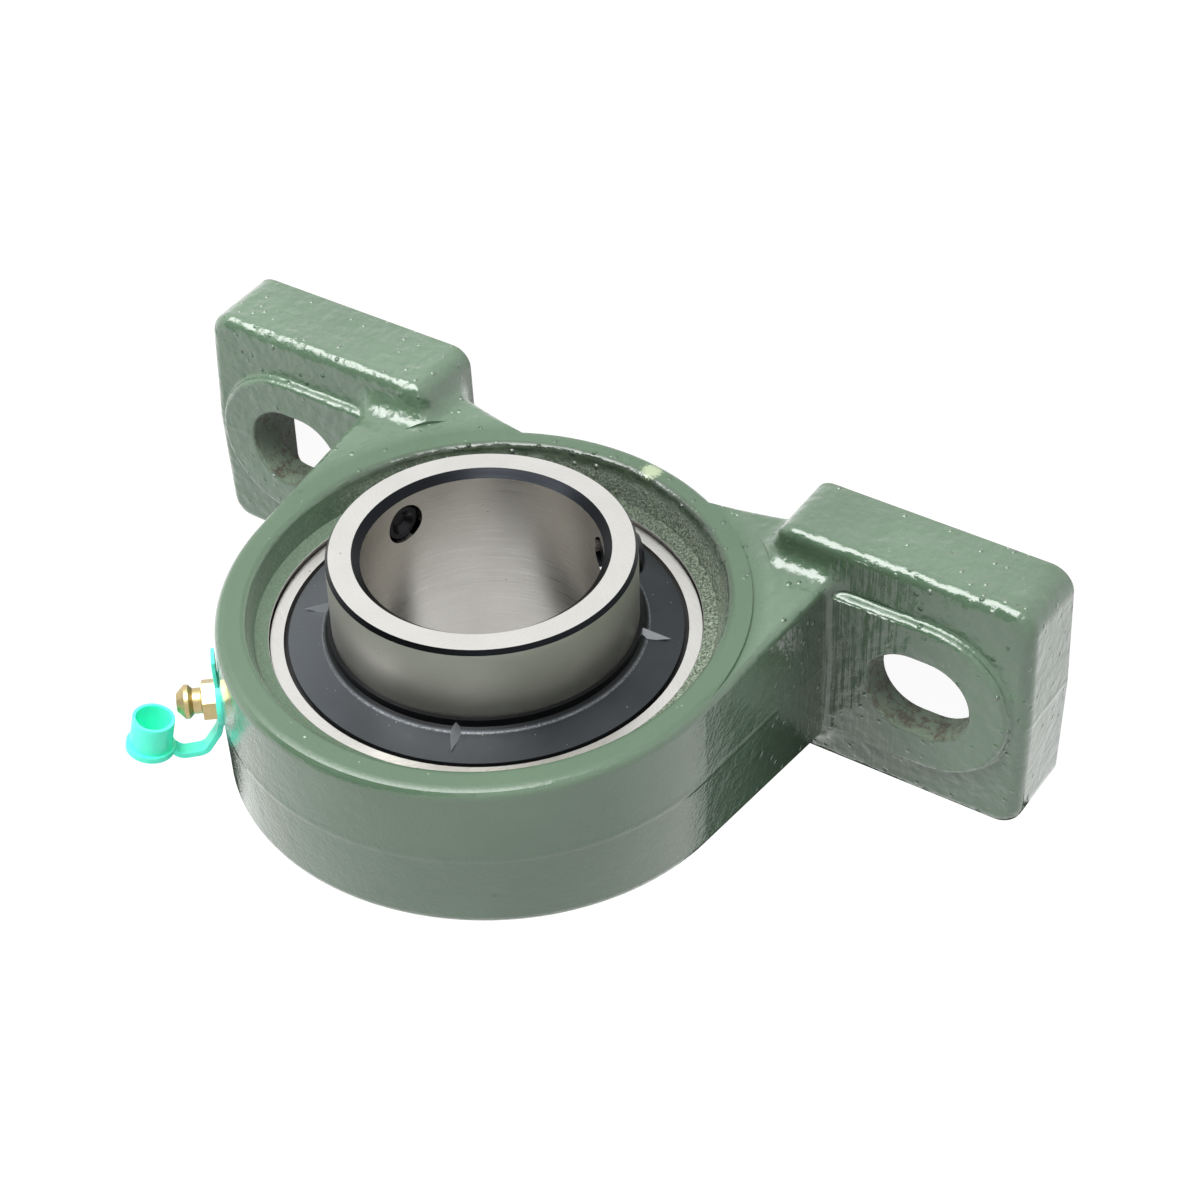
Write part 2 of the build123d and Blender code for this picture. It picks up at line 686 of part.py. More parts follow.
# Dust cap: one soft moulding. Its ring is trapped under the hexagon, a tab stands on the screw side, and a strap
# bends round to the cap, which hangs open beside the nipple.
ring_bore = nipple_thread_radius + tether_play
ring_outer = ring_bore + tether_ring_width
ring_foot = tether_play
ring_top = tether_thickness - tether_play
strap_level = ring_top - strap_thickness / 2
cap_turn = radians(cap_lean)
cap_into = Vector(0, -cos(cap_turn), 0) - nipple_out * sin(cap_turn)
cap_foot = nipple_seat + nipple_out * cap_offset + Vector(0, cap_shift, 0)
cap_plane = Plane(origin=cap_foot, x_dir=nipple_plane.y_dir, z_dir=cap_into)
with BuildPart() as dust_cap:
    with BuildSketch(nipple_plane.offset(ring_foot)):
        Circle(ring_outer)
    extrude(amount=ring_top - ring_foot)
    with BuildSketch(nipple_plane.offset(ring_top - tab_thickness)):
        with Locations((-ring_outer - tab_length / 2 + 0.5, 0)):
            Rectangle(tab_length + 1, tab_width)
    extrude(amount=tab_thickness)
    with BuildSketch(nipple_section):
        with BuildLine():
            FilletPolyline(
                (ring_bore + 1, strap_level),
                (cap_shift * 0.72, strap_level + strap_rise),
                (cap_shift * 1.15, cap_offset * 0.30),
                (cap_shift * 1.19, cap_offset * 0.62),
                (cap_shift - cap_flange_height * 0.4, cap_offset - cap_flange_radius + 1.2),
                radius=2.4,
            )
        trace(line_width=strap_thickness)
    extrude(amount=strap_width / 2, both=True)
    with BuildSketch(cap_plane):
        Circle(cap_flange_radius)
    extrude(amount=cap_flange_height)
    with BuildSketch(cap_plane):
        Circle(cap_outer_radius)
    extrude(amount=cap_height)
    with BuildSketch(cap_plane.offset(cap_flange_height)):
        Circle(cap_outer_radius - cap_wall)
    extrude(amount=cap_height, mode=Mode.SUBTRACT)
    with BuildSketch(nipple_plane):
        Circle(ring_bore)
    extrude(amount=tether_thickness, mode=Mode.SUBTRACT)

dust_cap.part.label = "dust_cap"
export_step(dust_cap.part, "parts/dust_cap.step")
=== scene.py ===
import json

import bpy
from mathutils import Matrix, Vector

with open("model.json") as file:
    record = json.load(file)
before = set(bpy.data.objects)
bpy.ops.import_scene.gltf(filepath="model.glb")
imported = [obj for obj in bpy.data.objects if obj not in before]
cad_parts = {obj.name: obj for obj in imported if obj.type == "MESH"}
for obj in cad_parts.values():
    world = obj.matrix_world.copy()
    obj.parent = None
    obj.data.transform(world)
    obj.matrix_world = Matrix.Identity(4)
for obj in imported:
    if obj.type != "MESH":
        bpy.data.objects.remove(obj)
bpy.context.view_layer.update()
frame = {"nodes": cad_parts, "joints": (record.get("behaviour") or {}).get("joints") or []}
nodes = frame["nodes"]


# Studio: a pale paper floor under the feet, a large soft box on the set screw side and a white room around.
# The camera looks down on the set screw side with that side turned up in the picture, as the object was
# photographed.
scene = bpy.context.scene
scene.view_settings.view_transform = "Standard"
middle = (0, 0, 0.045)


def hue(code):
    """Linear colour of an sRGB hex value."""
    parts = [int(code[i:i + 2], 16) / 255 for i in (1, 3, 5)]
    return tuple(p / 12.92 if p <= 0.04045 else ((p + 0.055) / 1.055) ** 2.4 for p in parts) + (1.0,)


def put(tree, kind, inputs=(), **settings):
    """Adds one node and gives its outputs. Settings are its own properties. Inputs, by name in a dict or by
    place in a list, each take a value or another node's output."""
    node = tree.nodes.new("ShaderNode" + kind)
    for name, value in settings.items():
        setattr(node, name, value)
    for name, value in inputs.items() if isinstance(inputs, dict) else enumerate(inputs):
        if isinstance(value, bpy.types.NodeSocket):
            tree.links.new(value, node.inputs[name])
        else:
            node.inputs[name].default_value = value
    return node.outputs


def material(name):
    """A new material, and its node tree, emptied."""
    made = bpy.data.materials.new(name)
    made.use_nodes = True
    made.node_tree.nodes.clear()
    return made, made.node_tree


def shows(tree):
    """1 for a ray that shows the thing itself, straight, in a reflection or through glass, else 0."""
    rays = put(tree, "LightPath")
    straight = put(tree, "Math", [rays["Is Camera Ray"], rays["Is Glossy Ray"]], operation="MAXIMUM")[0]
    return put(tree, "Math", [straight, rays["Is Transmission Ray"]], operation="MAXIMUM")[0]


# The room is white to look at. As a light it is dim in front of the object and bright behind it.
white = hue("#ffffff")
front_light, back_light = 0.14, 0.92
front_ends, back_starts = -0.35, 0.35
room = bpy.data.worlds.new("studio_room")
scene.world = room
room.use_nodes = True
tree = room.node_tree
tree.nodes.clear()
toward = put(tree, "SeparateXYZ", [put(tree, "TexCoord")["Generated"]])["Y"]
strength = put(tree, "MapRange", [toward, front_ends, back_starts, front_light, back_light])[0]
room_light = put(tree, "Background", {"Color": white, "Strength": strength})[0]
room_seen = put(tree, "Background", {"Color": white, "Strength": 1.0})[0]
walls = put(tree, "MixShader", [shows(tree), room_light, room_seen])[0]
put(tree, "OutputWorld", {"Surface": walls})

# The floor glows just under white where it is seen, with a little grey paint on top that keeps the shadow.
# Other rays meet plain white paper.
paper, tree = material("white_paper_floor")
paper_light = put(tree, "BsdfPrincipled", {"Base Color": hue("#f4f4f2"), "Roughness": 0.9})[0]
paper_glow = put(tree, "Emission", {"Color": white, "Strength": 0.95})[0]
paper_shade = put(tree, "BsdfDiffuse", {"Color": hue("#6e6e6d")})[0]
paper_seen = put(tree, "AddShader", [paper_shade, paper_glow])[0]
put(tree, "OutputMaterial", {"Surface": put(tree, "MixShader", [shows(tree), paper_light, paper_seen])[0]})


def card(name, width, depth, finish):
    """A flat rectangle around its own middle, facing up, that isn't part of the object."""
    across, along = width / 2, depth / 2
    corners = [(-across, -along, 0), (across, -along, 0), (across, along, 0), (-across, along, 0)]
    mesh = bpy.data.meshes.new(name)
    mesh.from_pydata(corners, [], [(0, 1, 2, 3)])
    mesh.materials.append(finish)
    made = bpy.data.objects.new(name, mesh)
    scene.collection.objects.link(made)
    return made


floor_width = 12.0
floor_drop = 0.0002
card("floor", floor_width, floor_width, paper).location.z = -floor_drop


def aim_at(thing, place, target):
    """Puts a thing at place with its back, -Z, turned to target."""
    thing.location = place
    thing.rotation_mode = "QUATERNION"
    thing.rotation_quaternion = (Vector(target) - Vector(place)).to_track_quat("-Z", "Y")


def soft_box(name, place, size, watts):
    """A soft box at place, turned to the middle of the object."""
    lamp = bpy.data.lights.new(name, "AREA")
    lamp.shape = "RECTANGLE"
    lamp.size, lamp.size_y = size
    lamp.energy = watts
    holder = bpy.data.objects.new(name, lamp)
    aim_at(holder, place, middle)
    scene.collection.objects.link(holder)


soft_box("key_box", (0.2, -1.0, 0.34), (1.2, 0.8), 22.5)
soft_box("crown_box", (0.4, -0.25, 0.9), (0.5, 0.4), 1.8)

# Black cards above, behind the bore and on the floor behind the foot. Only gloss sees them, and they give the
# paint and the steel their dark lines. The cards behind the bore and on the floor behind the foot are a
# painted
# shadow: they stand for the object's shade there, seen only in reflections.
velvet, tree = material("black_velvet_flag")
nap = put(tree, "TexNoise", {"Scale": 40.0, "Detail": 2.0})[0]
pile = put(tree, "Mix", {"Factor": nap, "A": hue("#060606"), "B": hue("#0d0d0d")}, data_type="RGBA")["Result"]
cloth = put(tree, "BsdfPrincipled", {"Base Color": pile, "Roughness": 1.0})[0]
put(tree, "OutputMaterial", {"Surface": cloth})


def flag(name, place, target, size):
    """A black card at place, turned to target, that only the gloss of the object sees."""
    made = card(name, *size, velvet)
    aim_at(made, place, target)
    made.visible_camera = False
    made.visible_diffuse = False
    made.visible_shadow = False


flag("front_flag", (0.3, -0.3, 0.85), middle, (1.3, 0.9))
# Painted shadow: this card and the next stand for the shade behind the bore and on the floor behind the foot.
flag("bore_shadow_card", (0.042, 0.031, 0.061), (0.042, 0, 0.061), (0.046, 0.052))
flag("floor_shadow_card", (-0.05, 0.08, 0.0003), (-0.05, 0.08, 1.0), (0.11, 0.09))

# The camera's place, turn and focal length are those solved from the photograph.
photo_width = 1200
focal_length_in_pixels = 2951.0
film_width = 36.0
camera_place = Vector((-0.25096, -0.37451, 0.39009))
looks_along = Vector((0.42319, 0.64943, -0.63178)).normalized()
picture_top = Vector((0.33548, -0.76005, -0.55657))
camera_data = bpy.data.cameras.new("camera")
camera_data.sensor_width = film_width
camera_data.lens = focal_length_in_pixels / photo_width * film_width
camera_data.clip_start, camera_data.clip_end = 0.01, 50
camera = bpy.data.objects.new("camera", camera_data)
scene.collection.objects.link(camera)
scene.camera = camera
picture_right = looks_along.cross(picture_top).normalized()
picture_top = picture_right.cross(looks_along)
turned = Matrix((picture_right, picture_top, -looks_along)).transposed().to_4x4()
camera.matrix_world = Matrix.Translation(camera_place) @ turned


# Housing: grey iron cast in sand, with a thick coat of glossy green enamel that runs into the corners.
# The seat and the sole are machined bare; the slots and the pockets under the feet are cored and stay rough.
# Sizes in the materials are in millimetres: x along the base, y along the shaft, z up from the sole, radii
# from the shaft's axis.
shaft_height = next(1000 * joint["pos_m"][2] for joint in frame["joints"] if joint["name"] == "shaft_spin")
seat_radius = 42.62
recess_grain_radius = 44.3
recess_cone_radius = 46.2
rim_outer_radius = 50.0
crown_wall_radius = 51.5
slot_centre = 73.0
slot_half_straight = 1.8
slot_edge = 9.5
pocket_from, pocket_to = 45.0, 88.8
pocket_half_width = 22.0
pocket_roof = 12.1
sole_skin = 0.1
run_from, run_to = 53.0, 66.0
chip_place = (-7.5, -19.6, 7.0)
chip_edge = 4.7
wave_length, peel_length = 9.09, 2.778
sand_grain, core_grain = 0.8333, 0.4545
pit_spacing, pit_patch = 7.69, 14.29
nib_spacing, nib_patch = 3.03, 16.67
fleck_spacing, fleck_patch = 2.0, 6.667
cloud_length, worn_patch = 33.3, 2.5

enamel, tree = material("green_enamel_on_cast_iron")
coords = put(tree, "TexCoord")
mm = put(tree, "VectorMath", {0: coords["Object"], "Scale": 1000.0}, operation="SCALE")[0]
x, y, z = put(tree, "SeparateXYZ", [mm])
far_x = put(tree, "Math", [x], operation="ABSOLUTE")[0]
far_y = put(tree, "Math", [y], operation="ABSOLUTE")[0]
facing = put(tree, "SeparateXYZ", [coords["Normal"]])
faces_x = put(tree, "Math", [facing["X"]], operation="ABSOLUTE")[0]
faces_y = put(tree, "Math", [facing["Y"]], operation="ABSOLUTE")[0]
up = put(tree, "Math", [z, shaft_height], operation="SUBTRACT")[0]
spoke = put(tree, "CombineXYZ", [x, 0.0, up])[0]
radius = put(tree, "VectorMath", [spoke], operation="LENGTH")["Value"]

# Where the casting differs from place to place: slots and pockets, then recess and rim. The lower side of the
# recess cone gets a painted shade.
past_slot = put(tree, "Math", [far_x, slot_centre], operation="SUBTRACT")[0]
past_slot = put(tree, "Math", [past_slot], operation="ABSOLUTE")[0]
past_slot = put(tree, "Math", [past_slot, slot_half_straight], operation="SUBTRACT")[0]
past_slot = put(tree, "Math", [past_slot, 0.0], operation="MAXIMUM")[0]
past_slot = put(tree, "CombineXYZ", [past_slot, y, 0.0])[0]
from_slot = put(tree, "VectorMath", [past_slot], operation="LENGTH")["Value"]
in_slot = put(tree, "MapRange", [from_slot, slot_edge, slot_edge - 0.5, 0.0, 1.0])[0]
in_pocket = put(tree, "MapRange", [far_x, pocket_from - 0.5, pocket_from, 0.0, 1.0])[0]
for place, edge, blur in (
    (far_x, pocket_to, 0.4), (far_y, pocket_half_width, 0.4), (z, pocket_roof, 0.1),
):
    inside = put(tree, "MapRange", [place, edge + blur, edge, 0.0, 1.0])[0]
    in_pocket = put(tree, "Math", [in_pocket, inside], operation="MULTIPLY")[0]
cored = put(tree, "Math", [in_slot, in_pocket], operation="MAXIMUM")[0]

in_recess = put(tree, "MapRange", [radius, recess_grain_radius + 0.9, recess_grain_radius, 0.0, 1.0])[0]
toward_crown = put(tree, "Math", [x, 0.5, up], operation="MULTIPLY_ADD")[0]
smoother = put(tree, "MapRange", [toward_crown, -14.0, 12.0, 1.0, 0.12])[0]
grainy = put(tree, "Math", [in_recess, smoother], operation="MULTIPLY")[0]
rough_zone = put(tree, "Math", [grainy, cored], operation="MAXIMUM")[0]
# Painted shade: the recess cone is darkened on its lower side.
on_cone = put(tree, "MapRange", [radius, recess_cone_radius + 0.6, recess_cone_radius, 0.0, 1.0])[0]
low_side = put(tree, "MapRange", [up, -4.0, -26.0, 0.0, 1.0])[0]
cone_painted_shade = put(tree, "Math", [on_cone, low_side], operation="MULTIPLY")[0]
in_rim = put(tree, "MapRange", [radius, rim_outer_radius + 3.0, rim_outer_radius, 0.0, 1.0])[0]
flat_y = put(tree, "MapRange", [faces_y, 0.75, 0.92, 0.0, 1.0])[0]
rim = put(tree, "Math", [in_rim, flat_y], operation="MULTIPLY")[0]

# The corner by the right foot, which gets a painted shade, and the runs beside it on the foot.
corner_painted_shade = put(tree, "MapRange", [x, -84.0, -62.0, 0.0, 1.0])[0]
for place, start, full in (
    (x, 20.0, -20.0), (z, 46.0, 26.0), (faces_y, 0.7, 0.4), (radius, crown_wall_radius, 54.0),
):
    share = put(tree, "MapRange", [place, start, full, 0.0, 1.0])[0]
    corner_painted_shade = put(tree, "Math", [corner_painted_shade, share], operation="MULTIPLY")[0]
run_zone = put(tree, "MapRange", [x, 3.0 - run_from, -run_from, 0.0, 1.0])[0]
for place, start, full in ((x, -8.0 - run_to, -run_to), (z, 34.0, 24.0), (faces_y, 0.5, 0.2)):
    share = put(tree, "MapRange", [place, start, full, 0.0, 1.0])[0]
    run_zone = put(tree, "Math", [run_zone, share], operation="MULTIPLY")[0]

# Marks of the casting under the enamel, each scale one over its length. Moulding sand is as fine as a pixel
# of the picture, so its print is drawn coarser than it is: 0.8 mm under the coat and 0.5 mm in the rough
# zones. Pits, nibs of dust and pale flecks on the edge of the recess come in patches; the flecks are partly
# worn paint and partly a painted highlight along the edge.
waves = put(tree, "TexNoise", {"Vector": mm, "Scale": 1 / wave_length, "Detail": 2.0})[0]
waves = put(tree, "Math", [waves, 0.5], operation="SUBTRACT")[0]
peel = put(tree, "TexNoise", {"Vector": mm, "Scale": 1 / peel_length, "Detail": 1.0})[0]
peel = put(tree, "Math", [peel, 0.5], operation="SUBTRACT")[0]
sand = put(tree, "TexNoise", {"Vector": mm, "Scale": 1 / sand_grain, "Detail": 3.0, "Roughness": 0.6})[0]
sand = put(tree, "Math", [sand, 0.5], operation="SUBTRACT")[0]
grit = put(tree, "TexNoise", {"Vector": mm, "Scale": 1 / core_grain, "Detail": 4.0, "Roughness": 0.75})[0]
drawn_out = put(tree, "VectorMath", [mm, (0.8, 0.04, 0.8)], operation="MULTIPLY")[0]
runs = put(tree, "TexNoise", {"Vector": drawn_out, "Scale": 1.0, "Detail": 2.0})[0]
pit_patches = put(tree, "TexNoise", {"Vector": mm, "Scale": 1 / pit_patch, "Detail": 2.0})[0]
pit_size = put(tree, "MapRange", [pit_patches, 0.46, 0.7, 0.0, 0.13])[0]
pit = put(tree, "TexVoronoi", {"Vector": mm, "Scale": 1 / pit_spacing})["Distance"]
pit = put(tree, "Math", [pit, pit_size], operation="SUBTRACT")[0]
pit = put(tree, "MapRange", [pit, 0.0, -0.06, 0.0, 1.0])[0]
nib_patches = put(tree, "TexNoise", {"Vector": mm, "Scale": 1 / nib_patch, "Detail": 2.0})[0]
nib = put(tree, "TexVoronoi", {"Vector": mm, "Scale": 1 / nib_spacing})["Distance"]
nib = put(tree, "MapRange", [nib, 0.2, 0.06, 0.0, 1.0])[0]
for place, start, full in ((nib_patches, 0.4, 0.5), (z, 45.0, 32.0)):
    share = put(tree, "MapRange", [place, start, full, 0.0, 1.0])[0]
    nib = put(tree, "Math", [nib, share], operation="MULTIPLY")[0]
# Pale flecks at the edge of the recess: partly worn paint, partly a painted highlight along the edge.
fleck_patches = put(tree, "TexNoise", {"Vector": mm, "Scale": 1 / fleck_patch, "Detail": 2.0})[0]
fleck_and_glint = put(tree, "TexVoronoi", {"Vector": mm, "Scale": 1 / fleck_spacing})["Distance"]
fleck_and_glint = put(tree, "MapRange", [fleck_and_glint, 0.16, 0.1, 0.0, 1.0])[0]
off_edge = put(tree, "Math", [radius, recess_cone_radius + 0.4], operation="SUBTRACT")[0]
off_edge = put(tree, "Math", [off_edge], operation="ABSOLUTE")[0]
for place, start, full in ((off_edge, 0.7, 0.4), (fleck_patches, 0.48, 0.58)):
    share = put(tree, "MapRange", [place, start, full, 0.0, 1.0])[0]
    fleck_and_glint = put(tree, "Math", [fleck_and_glint, share], operation="MULTIPLY")[0]
chip = put(tree, "VectorMath", [mm, chip_place], operation="DISTANCE")["Value"]
chip = put(tree, "Math", [grit, 5.0, chip], operation="MULTIPLY_ADD")[0]
chip = put(tree, "MapRange", [chip, chip_edge, chip_edge - 0.7, 0.0, 1.0])[0]

# The casting is livelier low down and on the sides of the feet than on the crown, the rim and the end walls.
lively = put(tree, "MapRange", [z, 62.0, 34.0, 0.25, 1.0])[0]
for place, start, full, least in ((rim, 0.0, 1.0, 0.35), (faces_x, 0.55, 0.9, 0.4)):
    share = put(tree, "MapRange", [place, start, full, 1.0, least])[0]
    lively = put(tree, "Math", [lively, share], operation="MULTIPLY")[0]
lively_pit = put(tree, "Math", [pit, lively], operation="MULTIPLY")[0]

# Colours, laid one over the other: two greens in soft clouds, darker on the rim and in pits, a painted shade
# in the corner by the right foot and on the lower side of the recess cone, sandy in the recess with a painted
# shade low down, pale flecks at its edge that are partly chalky wear and partly a painted highlight, chalky
# at a chip, thin and brown in the cores, and bare iron on the seat and the sole.
clouds = put(tree, "TexNoise", {"Vector": mm, "Scale": 1 / cloud_length, "Detail": 3.0})[0]
clouds = put(tree, "MapRange", [clouds, 0.35, 0.65, 0.0, 1.0])[0]
skin = put(tree, "Mix", {
    "Factor": clouds, "A": hue("#4b624d"), "B": hue("#546c56"),
}, data_type="RGBA")["Result"]
rim_share = put(tree, "Math", [rim, 0.55], operation="MULTIPLY")[0]
dust_and_painted_shade = put(tree, "MapRange", [grit, 0.42, 0.64, 0.0, 1.0])[0]
# Painted shade: the pale grain thins out low down, so the recess is darker there.
painted_shade_low_down = put(tree, "MapRange", [z, 10.0, 36.0, 0.35, 1.0])[0]
dust_and_painted_shade = put(tree, "Math", [dust_and_painted_shade, painted_shade_low_down], operation="MULTIPLY")[0]
sandy_with_painted_shade = put(tree, "Mix", {
    "Factor": dust_and_painted_shade, "A": hue("#2c3a2a"), "B": hue("#a9b8a2"),
}, data_type="RGBA")["Result"]
worn = put(tree, "TexNoise", {"Vector": mm, "Scale": 1 / worn_patch, "Detail": 5.0, "Roughness": 0.7})[0]
worn = put(tree, "MapRange", [worn, 0.4, 0.52, 0.0, 1.0])[0]
thin = put(tree, "Mix", {
    "Factor": worn, "A": hue("#4f4c40"), "B": hue("#6d7d6a"),
}, data_type="RGBA")["Result"]
from_centre = put(tree, "CombineXYZ", [x, y, up])[0]
from_centre = put(tree, "VectorMath", [from_centre], operation="LENGTH")["Value"]
on_seat = put(tree, "Math", [from_centre, seat_radius], operation="LESS_THAN")[0]
on_sole = put(tree, "Math", [z, sole_skin], operation="LESS_THAN")[0]
bare = put(tree, "Math", [on_seat, on_sole], operation="MAXIMUM")[0]
round_the_seat = put(tree, "VectorMath", [mm, (0.05, 3.0, 0.05)], operation="MULTIPLY")[0]
turning = put(tree, "TexNoise", {"Vector": round_the_seat, "Scale": 1.0, "Detail": 2.0})[0]
iron = put(tree, "Mix", {
    "Factor": turning, "A": hue("#6f6e6b"), "B": hue("#8f8d89"),
}, data_type="RGBA")["Result"]
for share, colour in (
    (corner_painted_shade, hue("#3a4d3a")), (cone_painted_shade, hue("#293828")), (rim_share, hue("#3f5540")),
    (lively_pit, hue("#25301f")), (grainy, sandy_with_painted_shade), (fleck_and_glint, hue("#a9b7a2")), (chip, hue("#99a688")),
    (cored, thin), (bare, iron),
):
    skin = put(tree, "Mix", {"Factor": share, "A": skin, "B": colour}, data_type="RGBA")["Result"]

# Relief in millimetres, added up: waves and peel, sand that shows less on the flat faces, nibs of dust, runs,
# pits, the grain of the rough zones and the moulding seam at mid width.
wave_height, peel_height = 0.6, 0.42
seam_y = -0.4
relief = put(tree, "Math", [waves, wave_height], operation="MULTIPLY")[0]
relief = put(tree, "Math", [peel, peel_height, relief], operation="MULTIPLY_ADD")[0]
relief = put(tree, "Math", [relief, lively], operation="MULTIPLY")[0]
sand_on_walls = put(tree, "MapRange", [faces_x, 0.6, 0.9, 0.11, 0.07])[0]
level = put(tree, "MapRange", [faces_y, 0.6, 0.9, 0.0, 1.0])[0]
sand_height = put(tree, "MapRange", [level, 0.0, 1.0, sand_on_walls, 0.08])[0]
seam = put(tree, "Math", [sand, 0.8, y], operation="MULTIPLY_ADD")[0]
seam = put(tree, "Math", [seam, seam_y], operation="SUBTRACT")[0]
seam = put(tree, "Math", [seam], operation="ABSOLUTE")[0]
seam = put(tree, "MapRange", [seam, 0.9, 0.2, 0.0, 1.0])[0]
run_marks = put(tree, "Math", [runs, run_zone], operation="MULTIPLY")[0]
grain = put(tree, "Math", [grit, rough_zone], operation="MULTIPLY")[0]
for marks, height in (
    (sand, sand_height), (nib, 0.35), (run_marks, 0.35), (lively_pit, -0.25), (grain, 0.5), (seam, 0.07),
):
    relief = put(tree, "Math", [marks, height, relief], operation="MULTIPLY_ADD")[0]
bump = put(tree, "Bump", {"Height": relief, "Strength": 1.0, "Distance": 0.001})[0]
matt = put(tree, "Math", [rough_zone, bare], operation="MAXIMUM")[0]
rim_matt = put(tree, "Math", [rim, 0.85], operation="MULTIPLY")[0]
matt = put(tree, "Math", [matt, rim_matt], operation="MAXIMUM")[0]
roughness = put(tree, "MapRange", [matt, 0.0, 1.0, 0.2, 0.55])[0]
coat = put(tree, "MapRange", [matt, 0.0, 1.0, 1.0, 0.1])[0]
put(tree, "OutputMaterial", {"Surface": put(tree, "BsdfPrincipled", {
    "Base Color": skin, "Roughness": roughness, "Normal": bump, "IOR": 1.5,
    "Coat Weight": coat, "Coat Roughness": 0.09, "Coat Normal": bump,
})[0]})
nodes["housing"].material_slots[0].material = enamel


# Rings of the insert: bearing steel, hardened and ground bright, with the turned edges of the inner ring left
# black from the furnace and the outer chamfers of the outer ring drawn dark brown. The wheel leaves slanting
# strokes across the faces and lines round the bore and the outside. Both are too fine to show, so they are
# drawn 0.3 and 0.2 mm wide.
face_middle_radius = 26.0
inner_edge_radius = 29.5
outer_edge_radius = 40.5
stroke_width = 0.2941
stroke_lean, stroke_stretch = 0.045, 0.08
line_width = 0.2
ragged_length, haze_length = 0.909, 8.33
speck_spacing, speck_radius = 4.545, 0.159

ground, tree = material("ground_bearing_steel")
coords = put(tree, "TexCoord")
mm = put(tree, "VectorMath", {0: coords["Object"], "Scale": 1000.0}, operation="SCALE")[0]
x, y, z = put(tree, "SeparateXYZ", [mm])
up = put(tree, "Math", [z, shaft_height], operation="SUBTRACT")[0]
radius = put(tree, "VectorMath", [put(tree, "CombineXYZ", [x, 0.0, up])[0]], operation="LENGTH")["Value"]
angle = put(tree, "Math", [up, x], operation="ARCTAN2")[0]
faces_y = put(tree, "SeparateXYZ", [coords["Normal"]])["Y"]
faces_y = put(tree, "Math", [faces_y], operation="ABSOLUTE")[0]
is_face = put(tree, "Math", [faces_y, 0.9], operation="GREATER_THAN")[0]
is_edge = put(tree, "Math", [faces_y, 0.35], operation="GREATER_THAN")[0]
is_edge = put(tree, "Math", [is_edge, is_face], operation="SUBTRACT")[0]

swept = put(tree, "Math", [radius, stroke_lean, angle], operation="MULTIPLY_ADD")[0]
swept = put(tree, "Math", [swept, face_middle_radius], operation="MULTIPLY")[0]
drawn_out = put(tree, "Math", [radius, stroke_stretch], operation="MULTIPLY")[0]
swept = put(tree, "CombineXYZ", [swept, drawn_out, y])[0]
stroke = {"Vector": swept, "Scale": 1 / stroke_width, "Detail": 4.0, "Roughness": 0.7}
stroke = put(tree, "TexNoise", stroke)[0]
turned = put(tree, "Math", [angle, 1.6], operation="MULTIPLY")[0]
along = put(tree, "Math", [y, 1 / line_width], operation="MULTIPLY")[0]
outward = put(tree, "Math", [radius, 1 / line_width], operation="MULTIPLY")[0]
lines = put(tree, "CombineXYZ", [turned, along, outward])[0]
lines = put(tree, "TexNoise", {"Vector": lines, "Scale": 1.0, "Detail": 4.0, "Roughness": 0.65})[0]
marks = put(tree, "Mix", {"Factor": is_face, "A": lines, "B": stroke}, data_type="FLOAT")["Result"]

ragged = put(tree, "TexNoise", {"Vector": mm, "Scale": 1 / ragged_length, "Detail": 3.0})[0]
ragged = put(tree, "Math", [ragged, 0.3, radius], operation="MULTIPLY_ADD")[0]
black_edge = put(tree, "Math", [ragged, inner_edge_radius], operation="LESS_THAN")[0]
black_edge = put(tree, "Math", [is_edge, black_edge], operation="MULTIPLY")[0]
# The outer chamfers of the outer ring are drawn dark brown.
dark_outer_edge = put(tree, "Math", [radius, outer_edge_radius], operation="GREATER_THAN")[0]
dark_outer_edge = put(tree, "Math", [is_edge, dark_outer_edge], operation="MULTIPLY")[0]
dark_outer_edge = put(tree, "Math", [dark_outer_edge, 0.85], operation="MULTIPLY")[0]
haze = put(tree, "TexNoise", {"Vector": mm, "Scale": 1 / haze_length, "Detail": 4.0})[0]
face = put(tree, "Mix", {
    "Factor": haze, "A": hue("#cfceca"), "B": hue("#dfdedb"),
}, data_type="RGBA")["Result"]
stroke_share = put(tree, "MapRange", [stroke, 0.35, 0.65, 0.0, 0.35])[0]
face = put(tree, "Mix", {"Factor": stroke_share, "A": face, "B": hue("#b1b0ac")}, data_type="RGBA")["Result"]
steel = put(tree, "Mix", {
    "Factor": haze, "A": hue("#b3b0aa"), "B": hue("#c5c3bd"),
}, data_type="RGBA")["Result"]
speck = put(tree, "TexVoronoi", {"Vector": mm, "Scale": 1 / speck_spacing})["Distance"]
speck = put(tree, "Math", [speck, speck_radius / speck_spacing], operation="LESS_THAN")[0]
for share, colour in (
    (is_face, face), (speck, hue("#4a4540")), (black_edge, hue("#1f2124")), (dark_outer_edge, hue("#2a2620")),
):
    steel = put(tree, "Mix", {"Factor": share, "A": steel, "B": colour}, data_type="RGBA")["Result"]
outside = put(tree, "Math", [radius, face_middle_radius], operation="GREATER_THAN")[0]
is_round = put(tree, "Math", [1.0, is_face], operation="SUBTRACT")[0]
outside = put(tree, "Math", [is_round, outside], operation="MULTIPLY")[0]
roughness = put(tree, "MapRange", [marks, 0.3, 0.7, 0.24, 0.4])[0]
roughness = put(tree, "Math", [outside, 0.06, roughness], operation="MULTIPLY_ADD")[0]
bump = put(tree, "Bump", {"Height": marks, "Strength": 0.14, "Distance": 0.00003})[0]
put(tree, "OutputMaterial", {"Surface": put(tree, "BsdfPrincipled", {
    "Base Color": steel, "Metallic": 1.0, "Roughness": roughness, "Normal": bump,
})[0]})
for name in ("outer_ring", "inner_ring"):
    nodes[name].material_slots[0].material = ground


